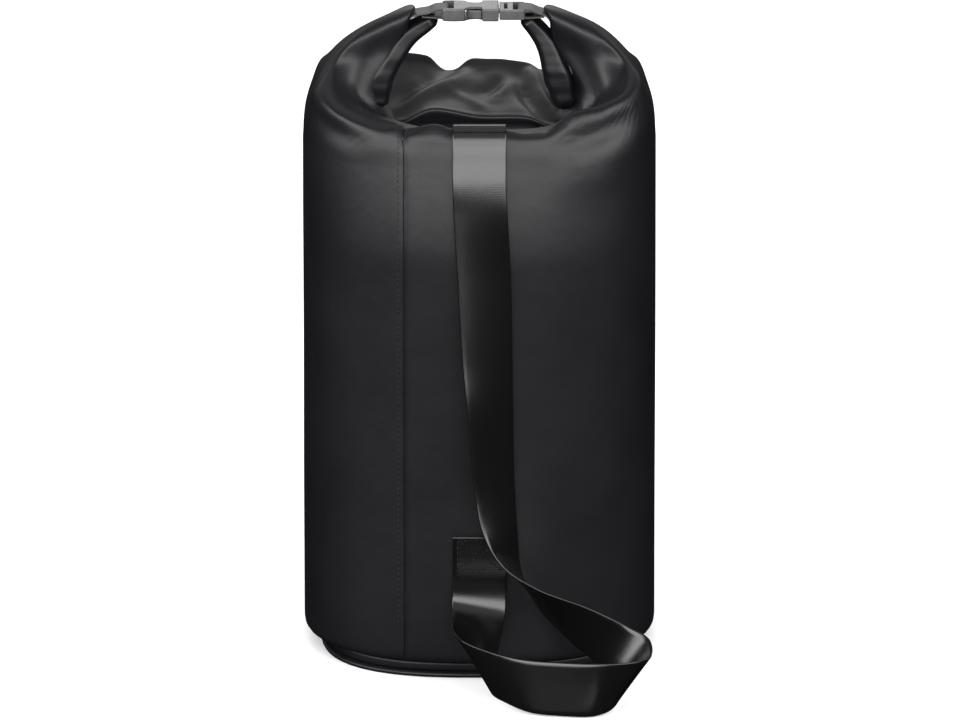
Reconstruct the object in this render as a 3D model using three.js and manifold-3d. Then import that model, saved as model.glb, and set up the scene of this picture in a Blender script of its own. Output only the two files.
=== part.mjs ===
// A roll-top rope storage bag standing upright, built as an assembly of separate pieces.
// A round tube of coated fabric holds the rope. Its mouth is stiffened by two strips, rolled down,
// and the two ends of the roll are bent up into ears that a side-release buckle joins over the top,
// which makes the carrying loop. A flat shoulder strap runs down the back, which faces -Y.
// Units are millimetres, +Z is up, and the origin is the centre of the base on the ground.
import * as THREE from "three";
import { mergeVertices } from "three/addons/utils/BufferGeometryUtils.js";
import Module from "manifold-3d";

const wasm = await Module();
wasm.setup();

// ---- Driving dimensions ----
const BODY_RADIUS = 135; // half the width of the filled tube
const SQUARENESS = 2.3; // superellipse exponent of the tube's cross-section; 2 is a circle
const FABRIC = 1.4; // coated fabric with its lining
const WALL_TOP = 395; // where the wall ends and the shoulder begins
const WALL_LEAN_START = 325; // above this height the back and front of the wall lean in
const WALL_TOP_DEPTH = 128; // half the depth of the wall at its top
const WALL_FOOT = 11.8; // the wall's lower seam, on top of the edge binding
const BASE_HALF_WIDTH = 122;
const BASE_HALF_DEPTH = 130; // the base is a little deeper than wide, and squarer than the wall
const BASE_SQUARENESS = 2.7;
const BASE_THICKNESS = 3.8; // padded base panel
const BOARD_INSET = 8;
const BOARD_THICKNESS = 2;
const BINDING_TOP = 11.4;
const BINDING_INSET = 4; // the binding stands this far in from the rim of the base panel
const BINDING_WIDTH = 4;
const GAP = 0.35; // clearance between neighbouring solids
const AROUND = 64; // segments round the bag

const ROLL_RADIUS = 10; // half the height of the rolled mouth at its middle
const ROLL_TURNS = 1.2;
const STIFFENER_WIDTH = 10; // the flat strip inside the roll, lying level
const STIFFENER_THICKNESS = 1.2;

const BUCKLE_Z = 491.8; // the buckle's middle plane
const TAB_WEBBING_WIDTH = 25;
const TAB_WEBBING_THICKNESS = 1.3;
const STRAP_WIDTH = 41;
const STRAP_THICKNESS = 1.6;

// ---- Materials ----
const coatedFabric = new THREE.MeshStandardMaterial({ color: 0x1d1d20, roughness: 0.62, metalness: 0 });
const linerFabric = new THREE.MeshStandardMaterial({ color: 0x2a2a2c, roughness: 0.85, metalness: 0 });
const webbingNylon = new THREE.MeshStandardMaterial({ color: 0x161715, roughness: 0.5, metalness: 0 });
const buckleAcetal = new THREE.MeshStandardMaterial({ color: 0x222124, roughness: 0.42, metalness: 0 });
const stiffenerPlastic = new THREE.MeshStandardMaterial({ color: 0x8c8f92, roughness: 0.6, metalness: 0 });

const bag = new THREE.Group();

function addPart(name, geometry, material) {
  const mesh = new THREE.Mesh(geometry, material);
  mesh.name = name;
  bag.add(mesh);
  return mesh;
}

// ---- Geometry helpers ----

// A solid swept through rows of points: each row is one closed outline, and all rows match point by point.
// cap lists the triangles that close an end row, or is null where the last row joins the first.
function skin(rows, cap) {
  const count = rows[0].length;
  const positions = rows.flat().flatMap((p) => [p.x, p.y, p.z]);
  const index = [];
  const spans = cap ? rows.length - 1 : rows.length;
  for (let i = 0; i < spans; i++) {
    const here = i * count;
    const next = ((i + 1) % rows.length) * count;
    for (let j = 0; j < count; j++) {
      const k = (j + 1) % count;
      index.push(here + j, here + k, next + k, here + j, next + k, next + j);
    }
  }
  if (cap) {
    const last = (rows.length - 1) * count;
    for (const [a, b, c] of cap) index.push(a, c, b, last + a, last + b, last + c);
  }
  const geometry = new THREE.BufferGeometry();
  geometry.setAttribute("position", new THREE.Float32BufferAttribute(positions, 3));
  geometry.setIndex(index);
  return facingOut(geometry);
}

// Turns every face round if the closed geometry encloses a negative volume.
function facingOut(geometry) {
  const p = geometry.getAttribute("position");
  const index = geometry.index.array;
  const [a, b, c] = [new THREE.Vector3(), new THREE.Vector3(), new THREE.Vector3()];
  let volume = 0;
  for (let i = 0; i < index.length; i += 3) {
    a.fromBufferAttribute(p, index[i]);
    b.fromBufferAttribute(p, index[i + 1]);
    c.fromBufferAttribute(p, index[i + 2]);
    volume += a.dot(b.cross(c));
  }
  if (volume < 0) {
    for (let i = 0; i < index.length; i += 3) [index[i + 1], index[i + 2]] = [index[i + 2], index[i + 1]];
  }
  geometry.computeVertexNormals();
  return geometry;
}

// Sweeps a 2D section through frames { origin, across, up } whose vectors carry the section's x and y.
function sweep(section, frames) {
  const cap = THREE.ShapeUtils.triangulateShape(section, []);
  const rows = frames.map(({ origin, across, up }) =>
    section.map((s) => origin.clone().addScaledVector(across, s.x).addScaledVector(up, s.y)),
  );
  return skin(rows, cap);
}

// A closed thin shell around a grid of points, half the thickness to each side of it.
function sheet(grid, thickness) {
  const rows = grid.length;
  const columns = grid[0].length;
  const at = (i, j) => grid[Math.min(rows - 1, Math.max(0, i))][Math.min(columns - 1, Math.max(0, j))];
  const offset = (i, j, side) => {
    const down = at(i + 1, j).clone().sub(at(i - 1, j));
    const along = at(i, j + 1).clone().sub(at(i, j - 1));
    return at(i, j).clone().addScaledVector(down.cross(along).normalize(), (side * thickness) / 2);
  };
  const outline = grid.map((_, i) => [
    ...grid[i].map((__, j) => offset(i, j, 1)),
    ...grid[i].map((__, j) => offset(i, columns - 1 - j, -1)),
  ]);
  const cap = [];
  for (let j = 0; j < columns - 1; j++) {
    const under = 2 * columns - 1 - j;
    cap.push([j, j + 1, under], [j + 1, under - 1, under]);
  }
  return skin(outline, cap);
}

// A point of a superellipse. A turn of 0 is +X, and a quarter turn is +Y.
function ringPoint(halfWidth, halfDepth, squareness, turn, z) {
  const c = Math.cos(turn * 2 * Math.PI);
  const s = Math.sin(turn * 2 * Math.PI);
  const part = (v) => Math.sign(v) * Math.abs(v) ** (2 / squareness);
  return new THREE.Vector3(halfWidth * part(c), halfDepth * part(s), z);
}

const ringRow = (halfWidth, halfDepth, squareness, z) =>
  Array.from({ length: AROUND }, (_, i) => ringPoint(halfWidth, halfDepth, squareness, i / AROUND, z));

// A point of the tube's wall, a distance in from its outer face.
function wallPoint(inset, turn, z) {
  const lean = Math.max(0, (z - WALL_LEAN_START) / (WALL_TOP - WALL_LEAN_START)) ** 1.5;
  const halfDepth = BODY_RADIUS + (WALL_TOP_DEPTH - BODY_RADIUS) * lean;
  return ringPoint(BODY_RADIUS - inset, halfDepth - inset, SQUARENESS, turn, z);
}

// A row of the base's outline, a distance in from its rim.
const baseRow = (inset, z) => ringRow(BASE_HALF_WIDTH - inset, BASE_HALF_DEPTH - inset, BASE_SQUARENESS, z);

// A disc with the base's outline and a small chamfer at both rims.
function disc(inset, low, high) {
  const chamfer = Math.min(0.8, (high - low) / 3);
  const rows = [
    baseRow(inset + chamfer, low),
    baseRow(inset, low + chamfer),
    baseRow(inset, high - chamfer),
    baseRow(inset + chamfer, high),
  ];
  const flat = rows[0].map((p) => new THREE.Vector2(p.x, p.y));
  return skin(rows, THREE.ShapeUtils.triangulateShape(flat, []));
}

// ---- Base ----

function buildBase() {
  addPart("base_panel", disc(0, 0, BASE_THICKNESS), coatedFabric);
  const low = BASE_THICKNESS + GAP;
  addPart("base_board", disc(BOARD_INSET + GAP, low, low + BOARD_THICKNESS), stiffenerPlastic);
  const outer = BINDING_INSET;
  const inner = BINDING_INSET + BINDING_WIDTH;
  const rows = [
    baseRow(inner, low),
    baseRow(outer + 1, low),
    baseRow(outer, low + 1.2),
    baseRow(outer, BINDING_TOP - 1.2),
    baseRow(outer + 1, BINDING_TOP),
    baseRow(inner, BINDING_TOP),
  ];
  addPart("base_binding", skin(rows, null), webbingNylon);
}

// ---- Tube wall ----

// The outer profile overhangs the foot seam, runs straight up, and leans in towards the shoulder.
function buildWall() {
  const outer = [
    [10, WALL_FOOT],
    [3, WALL_FOOT + 0.8],
    [0.8, WALL_FOOT + 3.5],
    [0, WALL_FOOT + 8],
    [0, WALL_LEAN_START],
    [0, 352],
    [0, 375],
    [0, WALL_TOP],
  ];
  const inner = outer.map(([inset, z], i) => [inset + FABRIC, z + (i < 2 ? FABRIC : 0)]).reverse();
  const rows = [...outer, ...inner].map(([inset, z]) =>
    Array.from({ length: AROUND }, (_, i) => wallPoint(inset, i / AROUND, z)),
  );
  addPart("body_wrap", skin(rows, null), coatedFabric);

  // The wrap's vertical lap seam: a taped strip inside the wall, behind the stitch line.
  const seamTurn = 0.5 + Math.acos(0.371) / (2 * Math.PI);
  const half = 0.014;
  const inside = FABRIC + GAP + 0.5;
  const grid = [WALL_FOOT + 30, 140, 230, WALL_LEAN_START, 352, 375, WALL_TOP - 3].map((z) =>
    [-1, -0.33, 0.33, 1].map((s) => wallPoint(inside, seamTurn + s * half, z)),
  );
  addPart("seam_tape", sheet(grid, 0.8), linerFabric);
}

// ---- Shoulder and ears ----

// One quarter of the fabric between the wall and the roll, from the side fold to the middle of the back.
// Each column climbs from the wall over the ridge and in to the roll. x and y are outward, z is up.
const collarQuarter = [
  [[135, 0, 395.4], [133.2, 0, 417], [127, 0, 435], [119, 0, 450], [107, 0, 464.5], [94, 0, 476], [78, 0, 486.5], [50, 0, 495.5]],
  [[133.5, 26.5, 395.4], [132, 26, 419], [126, 22.5, 438], [118.5, 19, 451], [109, 16, 463], [96, 15, 473], [82, 14.5, 480], [54, 14.5, 492]],
  [[127.9, 51.5, 395.4], [127, 51, 419], [123.5, 46, 439], [119, 38, 448], [112, 30, 453], [102, 21, 455], [93, 18, 455], [86, 18, 455]],
  [[115.9, 76, 395.4], [115.5, 75, 416], [114, 70, 433], [111, 63, 439.5], [106, 54, 440], [98, 37, 434], [92, 25, 430], [87, 21, 430]],
  [[96.8, 97.5, 395.4], [97, 96, 414], [96.5, 90, 429], [94, 82, 434.5], [90, 72, 433], [83, 46, 424], [78, 28, 416], [75, 19, 412]],
  [[67.9, 115.8, 395.4], [68, 113, 412], [68, 107, 425], [67, 99, 429.5], [66, 90, 428], [63, 58, 419], [61, 34, 409], [60, 16, 405]],
  [[39.3, 124.7, 395.4], [39, 121.5, 411], [39, 117, 422.5], [38, 109.5, 426.5], [38, 101, 424], [37, 65, 415], [37, 36, 406], [37, 16, 402]],
  [[0, 128, 395.4], [0, 124.5, 410], [0, 119.5, 421], [0, 111.5, 424.5], [0, 103, 422.5], [0, 66, 413.5], [0, 36, 404], [0, 16, 400]],
];

// The four quarters joined into closed rings, one per row, starting at the left side fold and passing -Y.
const QUARTER_STEPS = collarQuarter.length - 1;
const collarRings = collarQuarter[0].map((_, row) => {
  const points = [];
  for (let i = 0; i < 4 * QUARTER_STEPS; i++) {
    const quarter = Math.floor(i / QUARTER_STEPS);
    const step = i % QUARTER_STEPS;
    const [x, y, z] = collarQuarter[quarter % 2 ? QUARTER_STEPS - step : step][row];
    points.push(new THREE.Vector3(quarter === 0 || quarter === 3 ? -x : x, quarter < 2 ? -y : y, z));
  }
  return new THREE.CatmullRomCurve3(points, true, "centripetal");
});

// A point of the fabric: turn runs round the bag (0 left fold, 0.25 back), rise runs from wall to roll.
function collarPoint(turn, rise) {
  const t = ((turn % 1) + 1) % 1;
  const column = collarRings.map((ring) => ring.getPoint(t));
  return new THREE.CatmullRomCurve3(column, false, "centripetal").getPoint(rise);
}

const EAR_SHARE = 0.125; // an ear spans this share of the way round to each side of its fold
const TURN_GAP = 0.0007;

function buildCollar() {
  const patch = (from, to, columns, rows) =>
    Array.from({ length: rows + 1 }, (_, i) =>
      Array.from({ length: columns + 1 }, (__, j) => collarPoint(from + ((to - from) * j) / columns, i / rows)),
    );
  const pieces = {
    left_ear_fabric: 0,
    back_shoulder: 0.25,
    right_ear_fabric: 0.5,
    front_shoulder: 0.75,
  };
  for (const [name, middle] of Object.entries(pieces)) {
    const reach = EAR_SHARE - TURN_GAP;
    addPart(name, sheet(patch(middle - reach, middle + reach, 14, 18), FABRIC), coatedFabric);
  }
}

// ---- Rolled mouth ----

// The end view of the rolled mouth: a band wound from the outside in, as one outline, a little wider than tall.
function spiralSection(radius, turns, pitch, band, stretch) {
  const steps = Math.round(turns * 14);
  const outer = [];
  const inner = [];
  for (let i = 0; i <= steps; i++) {
    const angle = (i / 14) * 2 * Math.PI;
    const r = radius - (pitch * i) / 14;
    const [c, s] = [Math.cos(angle), Math.sin(angle)];
    outer.push(new THREE.Vector2((r + stretch) * c, r * s));
    inner.push(new THREE.Vector2((r - band + stretch) * c, (r - band) * s));
  }
  return [...outer, ...inner.reverse()];
}

const rectangle = (width, height) => [
  new THREE.Vector2(-width / 2, -height / 2),
  new THREE.Vector2(width / 2, -height / 2),
  new THREE.Vector2(width / 2, height / 2),
  new THREE.Vector2(-width / 2, height / 2),
];

// A flat strip a little thicker along its middle.
function crownedStrip(width, thickness, crown) {
  const [w, h] = [width / 2, thickness / 2];
  const outline = [[-w, -h], [0, -h - crown], [w, -h], [w, h], [0, h + crown], [-w, h]];
  return outline.map(([x, y]) => new THREE.Vector2(x, y));
}

// Each raised end of the roll, from its lower bend to its tip at the buckle.
const LEFT_END = {
  side: -1,
  line: [[77, 424], [75.5, 438], [67, 454.5], [54, 472], [39, 483]],
  halfDepth: [15, 17, 17, 15, 13],
  halfThickness: [7, 9, 7.2, 5.6, 4],
  tab: [[51.5, 489.5], [59, 482], [68, 471], [77, 458], [83, 445]],
};
const RIGHT_END = {
  side: 1,
  line: [[65, 424], [61, 438], [57.3, 450], [50, 468], [39, 483]],
  halfDepth: [15, 17, 17, 15, 13],
  halfThickness: [7.5, 9.6, 8.4, 6, 4],
  tab: [[51.5, 489.5], [57.5, 482], [63.5, 471], [69.5, 458], [73.5, 445]],
};

function endFrames({ side, line: points, halfDepth, halfThickness }, steps) {
  const line = new THREE.CatmullRomCurve3(points.map(([x, z]) => new THREE.Vector3(side * x, 0, z)));
  const level = (list, t) => {
    const at = t * (list.length - 1);
    const low = Math.min(list.length - 2, Math.floor(at));
    return list[low] + (list[low + 1] - list[low]) * (at - low);
  };
  return Array.from({ length: steps + 1 }, (_, i) => {
    const t = i / steps;
    const tangent = line.getTangent(t);
    const outward = new THREE.Vector3(tangent.z * side, 0, -tangent.x * side).normalize();
    return {
      origin: line.getPoint(t),
      outward,
      depth: level(halfDepth, t),
      thickness: level(halfThickness, t),
    };
  });
}

// Stations of the rolled middle, from its centre outwards: distance out, centre height and size.
const ROLL_STATIONS = [
  [0, 401, 1],
  [26, 401, 1],
  [45, 401.5, 1],
  [60, 403, 1],
];

function buildRoll() {
  const section = spiralSection(ROLL_RADIUS, ROLL_TURNS, 3.6, 2.4, 3);
  const half = ROLL_STATIONS.map(([x, z, size]) => ({ x, z, size }));
  const whole = [...half.slice(1).reverse().map((s) => ({ ...s, x: -s.x })), ...half];
  const middle = whole.map(({ x, z, size }) => ({
    origin: new THREE.Vector3(x, 0, z),
    across: new THREE.Vector3(0, size, 0),
    up: new THREE.Vector3(0, 0, size),
  }));
  addPart("roll_middle", sweep(section, middle), coatedFabric);
  const strip = rectangle(STIFFENER_WIDTH, STIFFENER_THICKNESS);
  const level = middle.map(({ origin }) => ({
    origin,
    across: new THREE.Vector3(0, 1, 0),
    up: new THREE.Vector3(0, 0, 1),
  }));
  addPart("mouth_stiffener_middle", sweep(strip, level), stiffenerPlastic);

  const unit = spiralSection(1, 1.3, 0.3, 0.2, 0);
  for (const [label, end] of [["left", LEFT_END], ["right", RIGHT_END]]) {
    const frames = endFrames(end, 8);
    const shaped = frames.map(({ origin, outward, depth, thickness }) => ({
      origin,
      across: new THREE.Vector3(0, depth, 0),
      up: outward.clone().multiplyScalar(thickness),
    }));
    addPart(`roll_end_${label}`, sweep(unit, shaped), coatedFabric);
    const inside = frames.slice(1).map(({ origin, outward }) => ({
      origin,
      across: new THREE.Vector3(0, 1, 0),
      up: outward,
    }));
    addPart(`mouth_stiffener_${label}_end`, sweep(strip, inside), stiffenerPlastic);
  }
}

// ---- Webbing tabs of the buckle ----

// Sweeps flat webbing along a line in the XZ plane, its width along Y.
function flatWebbing(points, width, thickness, steps) {
  const line = new THREE.CatmullRomCurve3(
    points.map(([x, z]) => new THREE.Vector3(x, 0, z)),
    false,
    "centripetal",
  );
  const frames = Array.from({ length: steps + 1 }, (_, i) => {
    const tangent = line.getTangent(i / steps);
    return {
      origin: line.getPoint(i / steps),
      across: new THREE.Vector3(0, 1, 0),
      up: new THREE.Vector3(-tangent.z, 0, tangent.x).normalize(),
    };
  });
  return sweep(rectangle(width, thickness), frames);
}

// From the short lower layer, round the buckle's bar, back over the top and down the outside of the roll's end.
// Each point is a distance out from the bar's middle and a height over the buckle's middle plane.
function tabLine({ side, tab }, barMiddle, barHalf) {
  const round = barHalf + 1.1;
  const points = [
    [17, -2.4],
    [12, -2.7],
    [7, -3.1],
    [0.5, -3.3],
    [-round + 0.9, -3],
    [-round, -1.5],
    [-round, 1.5],
    [-round + 0.9, 3],
    [0.5, 3.3],
    [7, 2.7],
    [12, 0.6],
  ].map(([out, up]) => [side * (barMiddle + out), BUCKLE_Z + up]);
  return [...points, ...tab.map(([x, z]) => [side * x, z])];
}

// ---- Side-release buckle ----

const FEMALE_END = -28.5; // the housing's webbing end
const MOUTH = 14.6; // the housing's mouth
const MALE_START = 15.2;
const MALE_END = 34.5;
const HOUSING_HALF_WIDTH = 16.6;
const HOUSING_HALF_HEIGHT = 4.9;
const CAVITY_HALF_WIDTH = 13.2;
const CAVITY_HALF_HEIGHT = 3.2;
const SLOT_HALF_WIDTH = 13.2;

function toSolid(geometry) {
  const bare = new THREE.BufferGeometry();
  const source = geometry.index ? geometry.toNonIndexed() : geometry;
  bare.setAttribute("position", source.getAttribute("position"));
  const merged = mergeVertices(bare, 1e-4);
  return new wasm.Manifold(
    new wasm.Mesh({
      numProp: 3,
      vertProperties: new Float32Array(merged.getAttribute("position").array),
      triVerts: new Uint32Array(merged.index.array),
    }),
  );
}

function toGeometry(solid) {
  const mesh = solid.getMesh();
  const geometry = new THREE.BufferGeometry();
  geometry.setAttribute("position", new THREE.Float32BufferAttribute(mesh.vertProperties, 3));
  geometry.setIndex(new THREE.BufferAttribute(mesh.triVerts, 1));
  geometry.computeVertexNormals();
  return geometry;
}

const block = (x0, x1, y0, y1, z0, z1) =>
  toSolid(
    new THREE.BoxGeometry(x1 - x0, y1 - y0, z1 - z0).translate((x0 + x1) / 2, (y0 + y1) / 2, (z0 + z1) / 2),
  );

// An outline in the XY plane, extruded to half a height each way with a bevelled rim, at the buckle's height.
function plate(shape, halfHeight, bevel) {
  return toSolid(
    new THREE.ExtrudeGeometry(shape, {
      depth: 2 * (halfHeight - bevel),
      bevelEnabled: bevel > 0,
      bevelThickness: bevel,
      bevelSize: bevel,
      bevelOffset: -bevel,
      bevelSegments: 2,
      curveSegments: 6,
    }).translate(0, 0, BUCKLE_Z - halfHeight + bevel),
  );
}

function buildHousing() {
  const outline = new THREE.Shape();
  outline.moveTo(MOUTH, -HOUSING_HALF_WIDTH);
  outline.lineTo(MOUTH, HOUSING_HALF_WIDTH);
  outline.lineTo(4, HOUSING_HALF_WIDTH);
  outline.quadraticCurveTo(-4, 14, -12, HOUSING_HALF_WIDTH - 1);
  outline.quadraticCurveTo(-20, 17.5, FEMALE_END + 3, 16);
  outline.quadraticCurveTo(FEMALE_END, 15.5, FEMALE_END, 12);
  outline.lineTo(FEMALE_END, -12);
  outline.quadraticCurveTo(FEMALE_END, -15.5, FEMALE_END + 3, -16);
  outline.quadraticCurveTo(-20, -17.5, -12, -HOUSING_HALF_WIDTH + 1);
  outline.quadraticCurveTo(-4, -14, 4, -HOUSING_HALF_WIDTH);
  let housing = plate(outline, HOUSING_HALF_HEIGHT, 1.2);

  const z = [BUCKLE_Z - CAVITY_HALF_HEIGHT, BUCKLE_Z + CAVITY_HALF_HEIGHT];
  housing = housing.subtract(block(-16, MOUTH + 2, -CAVITY_HALF_WIDTH, CAVITY_HALF_WIDTH, ...z));
  const through = [BUCKLE_Z - 10, BUCKLE_Z + 10];
  housing = housing.subtract(block(-25, -19.5, -SLOT_HALF_WIDTH, SLOT_HALF_WIDTH, ...through));
  // The end bar is thinner than the body, so that the webbing wraps it without standing proud.
  for (const side of [-1, 1]) {
    const low = BUCKLE_Z + (side < 0 ? -10 : 2);
    housing = housing.subtract(block(FEMALE_END - 2, -24, -SLOT_HALF_WIDTH, SLOT_HALF_WIDTH, low, low + 8));
  }
  // The two side windows through which the prongs are pressed.
  for (const side of [-1, 1]) {
    const window = new THREE.Shape();
    window.moveTo(2.2, side * 20);
    window.lineTo(2.2, side * 10.5);
    window.quadraticCurveTo(0, side * 6.2, -6, side * 8);
    window.quadraticCurveTo(-11, side * 10, -13, side * 20);
    housing = housing.subtract(plate(window, 10, 0));
  }
  addPart("buckle_housing", toGeometry(housing), buckleAcetal);
}

function buildMaleFrame() {
  const half = 15.8;
  const outline = new THREE.Shape();
  outline.moveTo(MALE_START, -half);
  outline.lineTo(MALE_END - 3, -half);
  outline.quadraticCurveTo(MALE_END, -half, MALE_END, -half + 3);
  outline.lineTo(MALE_END, half - 3);
  outline.quadraticCurveTo(MALE_END, half, MALE_END - 3, half);
  outline.lineTo(MALE_START, half);
  let frame = plate(outline, 3.9, 0.9);
  const through = [BUCKLE_Z - 10, BUCKLE_Z + 10];
  frame = frame.subtract(block(18.6, 21.4, -SLOT_HALF_WIDTH + 3, SLOT_HALF_WIDTH - 3, ...through));
  frame = frame.subtract(block(25.4, 30.4, -SLOT_HALF_WIDTH, SLOT_HALF_WIDTH, ...through));
  for (const side of [-1, 1]) {
    const low = BUCKLE_Z + (side < 0 ? -10 : 2);
    frame = frame.subtract(block(30, MALE_END + 2, -SLOT_HALF_WIDTH, SLOT_HALF_WIDTH, low, low + 8));
  }
  // The short guide tongue between the prongs.
  frame = frame.add(block(6, MALE_START + 1.5, -2.4, 2.4, BUCKLE_Z - 1.4, BUCKLE_Z + 1.4));
  addPart("buckle_male_frame", toGeometry(frame), buckleAcetal);
}

// One spring prong: a thin arm with a barbed pad that fills the housing's side window.
function buildProng(name, side) {
  const prong = new THREE.Shape();
  prong.moveTo(MALE_START - GAP, side * 8.4);
  prong.lineTo(MALE_START - GAP, side * 11.6);
  prong.lineTo(2, side * 12.6);
  prong.lineTo(1.2, side * 15.4);
  prong.quadraticCurveTo(-4, side * 15.2, -8.5, side * 12.2);
  prong.quadraticCurveTo(-11, side * 10.4, -9.5, side * 9.2);
  prong.quadraticCurveTo(-4, side * 9.4, 1, side * 9.6);
  addPart(name, toGeometry(plate(prong, 2.7, 0.4)), buckleAcetal);
}

// ---- Shoulder strap ----

// The two edges of the strap, station by station, from its upper end under the roll, over the back's ridge,
// down the back, through its loop on the ground, and back up to its lower end on the wall.
const STRAP_UPPER = [[30, 406], [64, 416.5], [92, 423.5], [104, 426.8], [115, 428], [122.5, 425], [126.7, 416], [130, 403], [134, 386]];
const STRAP_EDGES = [
  [[-19.5, -137.3, 362], [21.5, -137.1, 362]],
  [[-16.4, -144.5, 312], [24, -137.5, 312]],
  [[-13, -153.2, 254], [25, -137.8, 254]],
  [[-9.4, -159.3, 219], [25.4, -137.7, 219]],
  [[-5.9, -163.4, 177], [25.9, -137.6, 177]],
  [[-2.8, -166.6, 150], [26.8, -138.4, 150]],
  [[3.3, -172, 123], [28.7, -140, 119]],
  [[17.8, -174.6, 99.6], [32.2, -139.6, 84.4]],
  [[43.4, -171, 81.7], [46.6, -139.4, 56.3]],
  [[61, -166.3, 73.4], [61, -141.7, 40.6]],
  [[78, -163, 66.7], [76, -149, 28.3]],
  [[96, -164, 59], [90, -158, 19]],
  [[114, -170, 51.3], [100, -170, 12.7]],
  [[128.3, -184, 46.5], [107.2, -187, 9.4]],
  [[129.3, -203, 38.2], [104.7, -208, 5.8]],
  [[116, -222, 39], [97.5, -229, 2.6]],
  [[91, -236, 41.2], [85, -238, 0.9]],
  [[60, -234, 41.6], [60, -235, 0.9]],
  [[29.9, -227, 42.4], [38, -229, 1.9]],
  [[3, -214, 46.5], [19.8, -218, 6.1]],
  [[-13.5, -200, 50], [10, -208, 10]],
  [[-19.5, -183, 51.5], [10.5, -194, 19]],
  [[-21, -166, 56.5], [15.5, -172, 40]],
  [[-20.8, -151, 67.5], [19.6, -153, 61]],
  [[-20.5, -142, 81], [20.5, -142, 79]],
  [[-20.3, -138.3, 97], [20.7, -138.3, 97]],
  [[-20.3, -138.1, 114], [20.7, -138.1, 114]],
];

function buildStrap() {
  const vector = (p) => new THREE.Vector3(...p);
  const upper = STRAP_UPPER.map(([out, z]) => [
    [-STRAP_WIDTH / 2, -out, z],
    [STRAP_WIDTH / 2, -out, z],
  ]);
  const stations = [...upper, ...STRAP_EDGES];
  const edge = (k) => new THREE.CatmullRomCurve3(stations.map((s) => vector(s[k])), false, "centripetal");
  const [left, right] = [edge(0), edge(1)];
  const steps = 76;
  const frames = Array.from({ length: steps + 1 }, (_, i) => {
    const t = i / steps;
    const [a, b] = [left.getPoint(t), right.getPoint(t)];
    const across = a.clone().sub(b);
    const along = left.getTangent(t).add(right.getTangent(t));
    return {
      origin: a.clone().add(b).multiplyScalar(0.5),
      across: across.clone().divideScalar(STRAP_WIDTH),
      up: across.cross(along).normalize(),
    };
  });
  addPart("shoulder_strap", sweep(crownedStrip(STRAP_WIDTH, STRAP_THICKNESS, 0.15), frames), webbingNylon);

  // Backing patches inside the fabric, which spread the pull of the strap's stitched ends.
  const inside = FABRIC + GAP + 0.6;
  const span = 0.031;
  const grid = [84, 98, 112, 126].map((z) =>
    [-1, -0.33, 0.33, 1].map((s) => wallPoint(inside, 0.75 + s * span, z)),
  );
  addPart("strap_backing_patch", sheet(grid, 0.9), linerFabric);
}

// ---- Assembly ----
buildBase();
buildWall();
buildCollar();
buildRoll();
buildHousing();
buildMaleFrame();
buildProng("buckle_prong_back", -1);
buildProng("buckle_prong_front", 1);
for (const [label, end, bar, half] of [["left", LEFT_END, 26.75, 1.75], ["right", RIGHT_END, 32.45, 2.05]]) {
  const line = tabLine(end, bar, half);
  addPart(`webbing_tab_${label}`, flatWebbing(line, TAB_WEBBING_WIDTH, TAB_WEBBING_THICKNESS, 36), webbingNylon);
}
buildStrap();

export default bag;
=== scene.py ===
"""Rope storage bag: the fabric, webbing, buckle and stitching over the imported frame.

The tables below are in millimetres and repeat the shapes of the CAD part; meshes are made in metres.
X runs along the rolled mouth, the shoulder strap side faces -Y, and Z is up.
"""
import math

import bmesh
import bpy
import numpy as np
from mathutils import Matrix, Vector, noise


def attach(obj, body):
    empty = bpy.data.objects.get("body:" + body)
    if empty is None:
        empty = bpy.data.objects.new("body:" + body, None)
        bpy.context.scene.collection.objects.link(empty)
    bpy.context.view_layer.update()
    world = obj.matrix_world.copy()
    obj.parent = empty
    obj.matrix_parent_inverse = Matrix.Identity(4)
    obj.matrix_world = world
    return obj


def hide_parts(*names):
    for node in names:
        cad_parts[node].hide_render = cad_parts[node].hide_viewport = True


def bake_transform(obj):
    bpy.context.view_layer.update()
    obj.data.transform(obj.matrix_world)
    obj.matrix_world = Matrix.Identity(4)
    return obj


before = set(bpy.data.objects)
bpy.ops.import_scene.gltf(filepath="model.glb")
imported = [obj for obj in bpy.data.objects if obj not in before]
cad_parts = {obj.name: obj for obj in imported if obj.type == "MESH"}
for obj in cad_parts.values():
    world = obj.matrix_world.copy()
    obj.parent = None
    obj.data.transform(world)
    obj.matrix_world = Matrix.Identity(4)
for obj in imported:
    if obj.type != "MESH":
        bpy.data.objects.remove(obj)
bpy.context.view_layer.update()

MM = 0.001
BODY_RADIUS = 135.0
WALL_ROUND = 880.0  # about how far it is round the wall
BASE_HALF_WIDTH = 122.0
BASE_HALF_DEPTH = 130.0
BASE_SQUARENESS = 2.7
WALL_TOP = 395.0
WALL_LEAN_START = 325.0
TOP_DEPTH_SHARE = 125.5 / BODY_RADIUS  # how deep the wall is at its top, against the foot
WALL_FOOT = 11.9
SEAM_X = -57.0
BUCKLE_Z = 491.8
STRAP_WIDTH = 40.5
STRAP_THICKNESS = 1.7


# ---------------------------------------------------------------- camera, light and floor

VIEW_WIDTH = 0.7373  # metres across the picture at the bag
CAMERA_ELEVATION = math.radians(14.4)
CAMERA_DISTANCE = 9.0
TARGET = Vector((0.0004, 0.0, 0.2170))

# Softboxes round the strap side, all the same size: (name, turn in degrees, height, radiance).
SOFTBOX_DISTANCE = 3.0
SOFTBOX_SIZE = (4.1, 1.3)
SOFTBOX_AIM = (0.0, 0.0, 0.36)
SOFTBOXES = (
    ("front", 0, 1.34, 4.5),
    ("left", -66, 1.30, 4.4),
    ("right", 66, 1.46, 4.1),
)
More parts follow.
